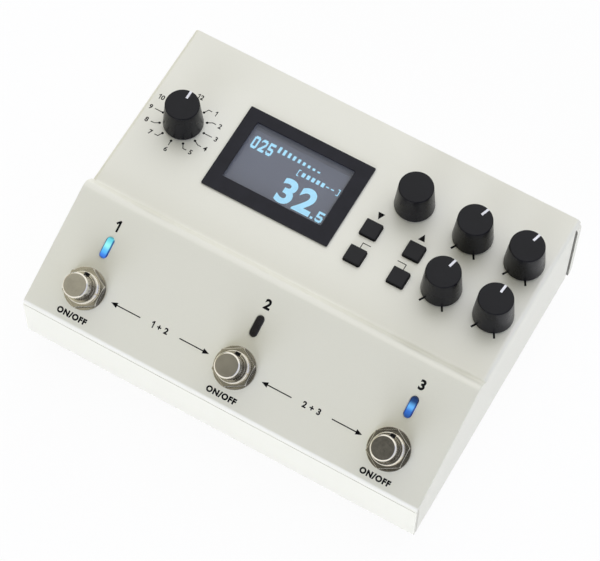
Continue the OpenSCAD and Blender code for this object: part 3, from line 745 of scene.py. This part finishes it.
def display_light():
    """Lit dots of the display, a little uneven."""
    material, tree, shader = new_material("display_lit")
    tint = colours().digits
    clouds = spread(tree, noise(tree, scale=500, detail=2))
    set_inputs(shader, {
        "Base Color": opaque(shade(tint, 0.3)),
        "Roughness": 0.3,
        "Emission Color": shades(tree, clouds, tint, low=0.9, high=1),
        "Emission Strength": 0.9,
    })
    return material


def along(tree, centre, axis, reach):
    """Share of the way along an axis, between the same reach on both sides of a centre."""
    at = centre.dot(axis)
    way = work_out(tree, "VectorMath", "DOT_PRODUCT", place_of(tree), axis)["Value"]
    return spread(tree, way, start=at - reach, end=at + reach)


def lamp(name, side, stops):
    """A lamp lens whose light changes along its length and fades towards its rim."""
    material, tree, shader = new_material(name)
    centre = FOOT_ORIGIN + FOOT_UP * LAMP_UP
    centre.x = middle("led_lens_" + side).x
    lengthwise = ramp(tree, along(tree, centre, FOOT_UP, LAMP_L / 2), stops)
    across = ramp(tree, along(tree, centre, Vector((1, 0, 0)), LAMP_W / 2), RIM)
    set_inputs(shader, {
        "Base Color": (0.01, 0.02, 0.04, 1),
        "Roughness": 0.2,
        "Emission Color": mix(tree, 1, lengthwise, across, how="MULTIPLY"),
        "Emission Strength": 1,
    })
    return material


def cyan_lamp():
    """Blue at the front, and pale cyan and cyan behind it."""
    cyan, blue = colours().lamp_cyan, colours().lamp_blue
    light_blue, pale_cyan = (0.1, 0.5, 0.95), (0.33, 0.95, 0.92)
    return lamp("lamp_cyan", "left", (
        (0, shade(blue, 0.5)), (1, shade(cyan, 0.4)), (0.1, blue), (0.3, light_blue), (0.6, pale_cyan),
        (0.9, shade(cyan, 0.8))))


def blue_lamp():
    """Light blue in the middle and dark blue at both ends."""
    blue = colours().lamp_blue
    light_blue = (0.14, 0.47, 0.95)
    return lamp("lamp_blue", "right", (
        (0, shade(blue, 0.3)), (1, shade(blue, 0.06)), (0.25, shade(blue, 0.7)), (0.5, light_blue),
        (0.8, shade(blue, 0.2))))


def clear_lens():
    """Clear lens with a few faint smears."""
    material, tree, shader = new_material("clear_lens")
    smears = spread(tree, noise(tree, scale=60), low=0.05, high=0.12)
    set_inputs(shader, {"Base Color": (0.6, 0.62, 0.66, 1), "Roughness": smears, "Alpha": 0.1})
    return material


def circuit_board():
    """Green lacquer over a fine pattern of tracks."""
    material, tree, shader = new_material("circuit_board")
    tracks = bricks(tree, joint=0.3, width=9, height=1.27)
    base = shades(tree, tracks, colours().board, low=1, high=1.8)
    set_inputs(shader, {"Base Color": base, "Roughness": 0.35})
    return material


# Operators


class PEDAL_OT_case(bpy.types.Operator):
    """Paints the folded cover and chassis, darkens their insides with a primer tint that paints shade in
    the gaps, and softens their edges
    """

    bl_idname = "pedal.case"
    bl_label = "Case"

    def execute(self, context):
        paint = pearl_paint()
        # Inside faces take a primer tint that is darkened to paint the shade in the gaps of the case
        primer = moulded("grey_primer_painted_gap_shade", colours().primer, rough=0.6, grain=1500, strength=0.1, gloss=0.2)
        for node, name in (("top_cover", "cover"), ("base_chassis", "chassis")):
            piece = dress(node, name, sizes().edge, paint, primer)
            second_finish(piece, self.inside)
        return {"FINISHED"}

    def inside(self, face):
        """Whether a face looks into the case, where it takes the primer tint, darkened to paint the shade
        seen in the case's gaps.
        """
        inward = ((cad_box[0] + cad_box[1]) / 2 - face.center).normalized()
        return face.normal.dot(inward) > CASE_INSIDE


class PEDAL_OT_foot_switches(bpy.types.Operator):
    """Makes the foot switches: bushings with threads, nuts, washers and plungers"""

    bl_idname = "pedal.foot_switches"
    bl_label = "Foot switches"

    def execute(self, context):
        nickel = plated("nickel", colours().nickel, rough=0.13)
        satin = plated("satin_nickel", shade(colours().nickel, 0.8), rough=0.14)
        worn = plated("worn_nickel", colours().worn, rough=0.15)
        # Near black tint on the walls and floor of the bushings' keyway slots, which paints the shade in
        # these recesses
        black = moulded("painted_keyway_shade", colours().rubber, rough=0.6, grain=2000, strength=0.1, gloss=0.2)
        edge = sizes().metal_edge
        dress("switch_nuts", "hex_nuts", edge, satin, black)
        dress("switch_washers", "flat_washers", edge, satin, black)
        second_finish(dress("switch_bodies", "bushings", edge, nickel, black), self.in_slot)
        sleeves = [self.sleeve(x) for x in SWITCH_ROW]
        settle(join(sleeves, "bushing_threads"), "housing", "switch_metal", nickel)
        for side in SWITCHES:
            piece = dress("foot_button_" + side, "plunger_" + side, sizes().plunger_edge, nickel, worn)
            second_finish(piece, lambda face: self.on_top(piece.matrix_world @ face.center, face.normal))
        return {"FINISHED"}

    def in_slot(self, face):
        """Whether a face is a wall or the floor of the slot at the back of a bushing, which takes a near
        black tint as painted shade.
        """
        at = TO_FOOT @ face.center
        aside = min(abs(at.x - x) for x in SWITCH_ROW) / SLOT_W
        behind = at.y / BUSH_R
        depth = (BUSH_H - at.z) / SLOT_DEPTH
        return aside < 0.6 and behind > 0.75 and 0.2 < depth < 1.1

    def on_top(self, place, normal):
        """Whether a face of a plunger is its flat top, over the bushing."""
        return (place - FOOT_ORIGIN).dot(FOOT_OUT) > BUSH_H and normal.dot(FOOT_OUT) > PLUNGER_TOP

    def sleeve(self, x):
        """The threads over the nut, open at the bushing's keyway."""
        gap, rim = 0.1 * MM, 0.35 * MM
        piece = thread(BUSH_R, NUT_TOP + gap, BUSH_H - rim, FOOT @ Matrix.Translation((x, 0, 0)))
        keyway = (SLOT_W, BUSH_R, SLOT_DEPTH)
        place = FOOT @ Matrix.Translation((x, BUSH_R, BUSH_H - SLOT_DEPTH / 2))
        cut(piece, block(keyway, place))
        smooth(piece)
        return piece


class PEDAL_OT_knobs(bpy.types.Operator):
    """Finishes the six knobs, with painted shade on their sides, and lays a white line into five of them"""

    bl_idname = "pedal.knobs"
    bl_label = "Knobs"

    def execute(self, context):
        tint = colours().knob
        # The sides take a darker copy of the knob tint than the tops, which is painted shade; their lower
        # roughness and gloss are the plastic's own
        side = moulded("gloss_knob_painted_shade", shade(tint, 0.7), rough=0.28, grain=3200, strength=0.03, gloss=0.16)
        top = moulded("satin_knob", tint, rough=0.45, grain=3200, strength=0.1, gloss=0.25)
        white = moulded("pointer_white", colours().pointer, rough=0.5, grain=3000, strength=0.08)
        for knob in KNOBS:
            node = knob + "_knob"
            piece = copy_of(node, knob + "_knob_cap")
            if knob != "value":
                settle(self.pointer(knob), knob + "_control", "knob", white)
                cut(piece, self.groove(knob))
            smooth(piece)
            stand_for(piece, node, side, top)
            second_finish(piece, lambda face: face.normal.z > KNOB_TOP)
        return {"FINISHED"}

    def place(self, knob):
        """Middle of a knob's pointer line on its top face."""
        low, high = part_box(knob + "_knob")
        limits = JOINTS[knob + "_turn"].get("range_deg", (0, 0))
        turn = Matrix.Rotation(-math.radians(sum(limits) / 2), 4, "Z")
        out = KNOB_TOP_R - sizes().pointer_l / 2
        centre = (low + high) / 2
        return Matrix.Translation((centre.x, centre.y, high.z)) @ turn @ Matrix.Translation((0, out, 0))

    def groove(self, knob):
        """The space of a groove that runs out past the knob's rim."""
        past = 1 * MM
        size = (sizes().pointer_w, sizes().pointer_l + past, 2 * sizes().pointer_depth)
        return block(size, self.place(knob) @ Matrix.Translation((0, past / 2, 0)))

    def pointer(self, knob):
        """The white line, which lies in its groove with a little play."""
        depth = sizes().pointer_depth
        side_play, end_play, sunk, edge = 0.02 * MM, 0.05 * MM, 0.6 * depth, 0.05 * MM
        size = (sizes().pointer_w - side_play, sizes().pointer_l - end_play, depth)
        stripe = block(size, self.place(knob) @ Matrix.Translation((0, -end_play, -sunk)))
        soften(stripe, edge)
        return join([stripe], knob + "_pointer")


class PEDAL_OT_keys(bpy.types.Operator):
    """Finishes the four keys, with painted shade on their sides"""

    bl_idname = "pedal.keys"
    bl_label = "Keys"

    def execute(self, context):
        tint = colours().key
        # The sides take a much darker, duller copy of the key tint, which is painted shade that shows the
        # keys' depth
        side = moulded("key_side", shade(tint, 0.4), rough=0.42, grain=3000, strength=0.12, gloss=0.06)
        top = moulded("satin_key", tint, rough=0.42, grain=3000, strength=0.12, gloss=0.28)
        for key in KEYS:
            piece = copy_of("key_" + key, "key_cap_" + key)
            smooth(piece)
            stand_for(piece, "key_" + key, side, top)
            second_finish(piece, lambda face: face.normal.z > KEY_TOP)
        return {"FINISHED"}


class PEDAL_OT_display(bpy.types.Operator):
    """Finishes the display and sets plain numbers and bars on it"""

    bl_idname = "pedal.display"
    bl_label = "Display"

    def execute(self, context):
        gloss = moulded("gloss_frame", colours().bezel, rough=0.2, grain=2500, strength=0.03, gloss=0.24)
        dress("display_bezel", "display_frame", sizes().plastic_edge, gloss)
        finish_node(clear_lens(), "display_lens")
        finish_node(display_ground(), "lcd_module")
        # A darker copy of the display tint for bars that paint the frame's shadow on the display
        dark = moulded("frame_shadow_tint", shade(colours().display, 0.6), rough=0.35, grain=1500, strength=0.02)
        settle(join(self.border(), "display_shadow_bars"), "housing", "display", dark)
        marks = self.numbers() + self.falling_bars() + self.steps()
        settle(join(marks, "display_digits"), "housing", "display", display_light())
        return {"FINISHED"}

    def border(self):
        """Painted shadow of the frame: dark bars along the back and the right edge of the window, which
        overlap at the corner.
        """
        back_d, side_w, inset = 2, 1, 0.02
        side_l = WINDOW_D - back_d / 2
        return [
            bar(WINDOW_W / 2, WINDOW_D - back_d / 2, WINDOW_W, back_d, LCD),
            bar(WINDOW_W - side_w / 2 - inset, side_l / 2, side_w, side_l, LCD),
        ]

    def numbers(self):
        """A small number at the back left, and a large one with a decimal in front on the right."""
        marks = dots("025", x=1.9, y=16.8, width=2.5, height=5.6, gap=0.8)
        marks.append(word("32", 11.3 * MM, LCD, x=28.6, y=1.4, weight=BOLD, width=15.4))
        marks += dots("5", x=38.9, y=1.4, width=2.8, height=4.6)
        marks.append(bar(x=37.5, y=2, width=1, depth=1, plane=LCD))
        return marks

    def falling_bars(self):
        """A row of bars that get shorter towards the right."""
        count, first_x, pitch, foot_y = 9, 12.9, 2.2, 19.9
        width, first_h, fall = 1.1, 2.8, 0.26
        heights = [first_h - fall * i for i in range(count)]
        return [bar(first_x + pitch * i, foot_y + height / 2, width, height, LCD)
                for i, height in enumerate(heights)]

    def steps(self):
        """A row of full and empty steps between two brackets."""
        y, first_x, pitch, width = 16.3, 26.1, 2.1, 1.3
        full, empty = 1.9, 0.5
        depths = 5 * [full] + 2 * [empty]
        marks = [bar(first_x + pitch * i, y, width, depth, LCD) for i, depth in enumerate(depths)]
        left, right, stroke, tall, end_l, end_y = 23.7, 41.5, 0.35, 2.9, 0.8, 1.3
        for x, side in ((left, 1), (right, -1)):
            marks.append(bar(x, y, stroke, tall, LCD))
            marks += [bar(x + side * end_l / 2, y + rise, end_l, stroke, LCD) for rise in (-end_y, end_y)]
        return marks


class PEDAL_OT_lamps(bpy.types.Operator):
    """Finishes the three lamp lenses: cyan, dark and blue"""

    bl_idname = "pedal.lamps"
    bl_label = "Lamps"

    def execute(self, context):
        dark = moulded("lamp_dark", colours().lamp_dark, rough=0.25, grain=2000, strength=0.05)
        for side, material in zip(SWITCHES, (cyan_lamp(), dark, blue_lamp())):
            dress("led_lens_" + side, "lamp_lens_" + side, sizes().lamp_edge, material, segments=3)
        return {"FINISHED"}


class PEDAL_OT_panel_print(bpy.types.Operator):
    """Prints the dial, the end marks, the triangles and the lines on the control panel"""

    bl_idname = "pedal.panel_print"
    bl_label = "Control panel print"

    def execute(self, context):
        marks = self.dial()
        for pot in POTS:
            marks += self.end_marks(pot)
        marks += self.key_marks()
        settle(join(marks, "panel_print"), "housing", "key", ink())
        return {"FINISHED"}

    def dial(self):
        """Twelve dots round the mode knob, each with a thin bent line to its number."""
        count, leg, foot, aside, behind, in_front = 12, 2.1, 1.4, 1.9, 0.9, -3
        centre = Vector((middle("mode_knob") / MM).xy)
        text = sizes().dial_text
        marks = []
        for i in range(count):
            turn = math.radians(360 * i / count)
            out = Vector((math.sin(turn), math.cos(turn)))
            side = 0 if i % (count // 2) == 0 else math.copysign(1, out.x)
            dot = centre + sizes().dial / MM * out
            bend = dot + leg * out
            end = bend + Vector((foot * side, 0))
            marks.append(disc(sizes().dot / 2, sizes().ink, spot(PANEL, *dot)))
            marks.append(line(dot, bend, PANEL))
            lift = behind if out.y > 0 else in_front
            if side:
                marks.append(line(bend, end, PANEL))
                lift = -text / MM / 2
            marks += figures(str(i or count), text, PANEL, end.x + aside * side, end.y + lift, MEDIUM)
        return marks

    def end_marks(self, pot):
        """Short bars at the two ends of a knob's turn."""
        centre = Vector((middle(pot + "_knob") / MM).xy)
        radius, long, wide = (s / MM for s in (sizes().tick_r, sizes().tick_l, sizes().tick_w))
        low, high = JOINTS[pot + "_turn"]["range_deg"]
        half = math.radians((high - low) / 2)
        marks = []
        for turn in (-half, half):
            at = centre + radius * Vector((math.sin(turn), math.cos(turn)))
            marks.append(bar(*at, wide, long, PANEL, -turn))
        return marks

    def key_marks(self):
        """Triangles behind the upper keys and the line that joins the lower ones."""
        left, right = middle("key_down").x / MM, middle("key_up").x / MM
        upper, lower = middle("key_up").y / MM, middle("key_exit").y / MM
        long, half, down_behind, up_behind = 3, 1.4, 7.4, 6.6
        near, far, left_l, right_l = lower + 4.2, lower + 6.4, 3.2, 3.6
        return [
            triangle(left, upper + down_behind, long, half, PANEL, math.pi),
            triangle(right, upper + up_behind, long, half, PANEL, 0),
            line((left, near), (left, far), PANEL),
            line((left, far), (left + left_l, far), PANEL),
            line((right - right_l, far), (right, far), PANEL),
            line((right, far), (right, near), PANEL),
        ]


class PEDAL_OT_foot_print(bpy.types.Operator):
    """Prints numbers, labels and arrows on the foot panel"""

    bl_idname = "pedal.foot_print"
    bl_label = "Foot panel print"

    def execute(self, context):
        number_y, label_y, sum_y, arrow_end, arrow_gap = 24.3, -12.5, -1.2, 11.4, 8.6
        pitch = SWITCH_X / MM
        marks = []
        for i, x in enumerate((-pitch, 0, pitch)):
            marks += figures(str(i + 1), sizes().switch_text, FOOT, x, number_y, STRONG)
            marks.append(word("ON/OFF", sizes().label_text, FOOT, x, label_y, HEAVY))
        for i, x in enumerate((-pitch / 2, pitch / 2)):
            marks += self.arrows(x, pitch / 2 - arrow_end, arrow_gap)
            marks += figures(f"{i + 1} + {i + 2}", sizes().label_text, FOOT, x, sum_y, STRONG)
        settle(join(marks, "foot_panel_print"), "housing", "key", ink())
        return {"FINISHED"}

    def arrows(self, x, reach, gap):
        """Two arrows that point away from the middle of a gap."""
        shaft_w = 1.3 * sizes().line
        shaft_back, head_back, head_l, head_half = 1, 1.6, 2.6, 1.05
        marks = []
        for side in (-1, 1):
            tip = x + side * reach
            marks.append(line((x + side * gap, 0), (tip - side * shaft_back, 0), FOOT, shaft_w))
            marks.append(triangle(tip - side * head_back, 0, head_l, head_half, FOOT, -side * math.pi / 2))
        return marks


class PEDAL_OT_rear(bpy.types.Operator):
    """Finishes the jacks, the power inlet and the power button on the rear wall"""

    bl_idname = "pedal.rear"
    bl_label = "Rear connectors"

    def execute(self, context):
        black = moulded("jack_black", colours().jack, rough=0.38, grain=2500, strength=0.1)
        steel = plated("bright_steel", colours().steel, rough=0.24)
        for node in JACKS + ("dc_inlet", "power_button"):
            dress(node, node + "_body", sizes().plastic_edge, black)
        for node in ("jack_nuts", "jack_washers"):
            dress(node, "rear_" + node, sizes().metal_edge, steel)
        sleeves = join([self.sleeve(node) for node in JACKS], "jack_threads")
        smooth(sleeves)
        settle(sleeves, "housing", "jack", black)
        return {"FINISHED"}

    def sleeve(self, node):
        """The threads of a jack, from its nut to just below its rim."""
        rim = 0.4 * MM
        centre = middle(node)
        turn = Matrix.Rotation(-math.pi / 2, 4, "X")
        place = Matrix.Translation((centre.x, REAR_Y, centre.z)) @ turn
        return thread(JACK_R, JACK_NUT_TOP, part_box(node)[1].y - REAR_Y - rim, place)


class PEDAL_OT_underside(bpy.types.Operator):
    """Finishes the rubber feet and cuts cross recesses into the floor screws"""

    bl_idname = "pedal.underside"
    bl_label = "Underside"

    def execute(self, context):
        rubber = moulded("rubber", colours().rubber, rough=0.75, grain=1800, strength=0.3)
        dress("rubber_feet", "feet", sizes().rubber_edge, rubber)
        screws = copy_of("base_screws", "floor_screws")
        soften(screws, sizes().screw_edge, segments=3)
        for tool in self.recesses():
            cut(screws, tool)
        smooth(screws)
        stand_for(screws, "base_screws", plated("screw_steel", colours().steel, rough=0.3))
        return {"FINISHED"}

    def recesses(self):
        """Two crossed blocks under each of the six screws."""
        long, wide, deep = 3 * MM, 0.7 * MM, 1.6 * MM
        low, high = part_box("base_screws")
        tools = []
        for x in (low.x + SCREW_R, high.x - SCREW_R):
            for y in (low.y + SCREW_R, (low.y + high.y) / 2, high.y - SCREW_R):
                place = Matrix.Translation((x, y, low.z))
                tools.append(block((long, wide, deep), place))
                tools.append(block((wide, long, deep), place))
        return tools


class PEDAL_OT_inside(bpy.types.Operator):
    """Finishes the pieces inside the case"""

    bl_idname = "pedal.inside"
    bl_label = "Inside"

    def execute(self, context):
        steel = plated("inner_steel", colours().steel, rough=0.3)
        black = moulded("chip_black", colours().chip, rough=0.5, grain=1500, strength=0.1)
        clear = moulded("led_clear", colours().led, rough=0.2, grain=1500, strength=0.02)
        finish_node(circuit_board(), "panel_board", "main_board", "led_board")
        finish_node(steel, "board_standoffs", "board_screws", "led_board_screws", "control_nuts",
                    *(knob + "_shaft" for knob in KNOBS))
        finish_node(black, "board_chips", "board_link", "key_switches", "mode_switch", "value_encoder",
                    "control_pots", "power_switch")
        finish_node(clear, "leds")
        return {"FINISHED"}


class PEDAL_OT_stage(bpy.types.Operator):
    """Sets the floor, the light and the camera"""

    bl_idname = "pedal.stage"
    bl_label = "Stage"

    def execute(self, context):
        stage = context.scene.pedal_stage
        context.scene.view_settings.view_transform = "Standard"
        self.camera(stage)
        self.floor()
        self.sky(stage)
        return {"FINISHED"}

    def camera(self, stage):
        """A camera that looks at the aim from its azimuth, elevation and distance."""
        azimuth = Matrix.Rotation(stage.azimuth, 4, "Z")
        elevation = Matrix.Rotation(math.pi / 2 - stage.elevation, 4, "X")
        roll = Matrix.Rotation(stage.roll, 4, "Z")
        back = Matrix.Translation((0, 0, stage.distance))
        deselect()
        bpy.ops.object.camera_add()
        camera = bpy.context.object
        camera.name = "camera"
        camera.matrix_world = Matrix.Translation(stage.aim) @ azimuth @ elevation @ roll @ back
        camera.data.sensor_width = SENSOR_W
        camera.data.lens = stage.lens
        camera.data.clip_end = FAR
        bpy.context.scene.camera = camera

    def seen(self, tree, *rays):
        """One for rays from the camera and of the other kinds named."""
        path = tree.nodes.new("ShaderNodeLightPath")
        total = path.outputs["Is Camera Ray"]
        for ray in rays:
            total = work_out(tree, "Math", "MAXIMUM", total, path.outputs[ray])["Value"]
        return total

    def floor(self):
        """A pale floor that shows white and keeps a faint shadow."""
        deselect()
        bpy.ops.mesh.primitive_plane_add(size=FLOOR_W)
        floor = named("floor")
        material, tree, shader = new_material("pale_floor")
        set_inputs(shader, {"Base Color": (0.95, 0.95, 0.95, 1), "Roughness": 0.9})
        white = tree.nodes.new("ShaderNodeEmission")
        seen = self.seen(tree, "Is Glossy Ray", "Is Transmission Ray")
        share = work_out(tree, "Math", "MULTIPLY", seen, FLOOR_WHITE)["Value"]
        surface = mix_shaders(tree, share, shader.outputs[0], white.outputs[0])
        set_inputs(tree.nodes["Material Output"], {"Surface": surface})
        floor.data.materials.append(material)

    def softbox(self, tree, way, light, direction, start, full, strength, tint):
        """Light of one softbox, full round its direction and fading towards its edge."""
        facing = work_out(tree, "VectorMath", "DOT_PRODUCT", way, Vector(direction).normalized())["Value"]
        values = {"Value": facing, "From Min": start, "From Max": full, "To Max": light * strength}
        glow = add_node(tree, "MapRange", values, interpolation_type="SMOOTHSTEP").outputs["Result"]
        return work_out(tree, "VectorMath", "MULTIPLY", glow, tint)["Vector"]

    def background(self, tree, light):
        return add_node(tree, "Background", {"Color": light}).outputs[0]

    def sky(self, stage):
        """A white room for the camera, softboxes for the light, and limits to what gloss shows of them."""
        world = bpy.data.worlds.new("studio")
        world.use_nodes = True
        bpy.context.scene.world = world
        tree = world.node_tree
        tree.nodes.remove(tree.nodes["Background"])
        way = tree.nodes.new("ShaderNodeTexCoord").outputs["Generated"]
        boxes = [self.softbox(tree, way, stage.light, *box) for box in SOFTBOXES]
        light = boxes[0]
        for box in boxes[1:]:
            light = work_out(tree, "VectorMath", "ADD", light, box)["Vector"]
        capped = work_out(tree, "VectorMath", "MINIMUM", light, GLOSS_MOST)["Vector"]
        mirrored = work_out(tree, "VectorMath", "MAXIMUM", capped, GLOSS_LEAST)["Vector"]
        glossy = tree.nodes.new("ShaderNodeLightPath").outputs["Is Glossy Ray"]
        room = mix_shaders(tree, glossy, self.background(tree, light), self.background(tree, mirrored))
        white = self.background(tree, opaque(PLAIN))
        shown = mix_shaders(tree, self.seen(tree, "Is Transmission Ray"), room, white)
        set_inputs(tree.nodes["World Output"], {"Surface": shown})


class PEDAL_PT_sidebar(bpy.types.Panel):
    """Lists the steps that dress the pedal"""

    bl_idname = "PEDAL_PT_sidebar"
    bl_label = "Pedal"
    bl_space_type = "VIEW_3D"
    bl_region_type = "UI"
    bl_category = "Pedal"

    def draw(self, context):
        for step in STEPS:
            self.layout.operator(step.bl_idname)


STEPS = (
    PEDAL_OT_case, PEDAL_OT_foot_switches, PEDAL_OT_knobs, PEDAL_OT_keys, PEDAL_OT_display, PEDAL_OT_lamps,
    PEDAL_OT_panel_print, PEDAL_OT_foot_print, PEDAL_OT_rear, PEDAL_OT_underside, PEDAL_OT_inside,
    PEDAL_OT_stage,
)
GROUPS = {"pedal_sizes": PedalSizes, "pedal_colours": PedalColours, "pedal_stage": PedalStage}


def register():
    for group in GROUPS.values():
        bpy.utils.register_class(group)
    for step in STEPS:
        bpy.utils.register_class(step)
    bpy.utils.register_class(PEDAL_PT_sidebar)
    for name, group in GROUPS.items():
        setattr(bpy.types.Scene, name, PointerProperty(type=group))


def unregister():
    for name in GROUPS:
        delattr(bpy.types.Scene, name)
    for item in (PEDAL_PT_sidebar, *reversed(STEPS), *reversed(tuple(GROUPS.values()))):
        bpy.utils.unregister_class(item)


def main():
    """Dresses the pedal step by step."""
    register()
    for step in STEPS:
        group, name = step.bl_idname.split(".")
        getattr(getattr(bpy.ops, group), name)()
    deselect()


if __name__ == "__main__":
    main()
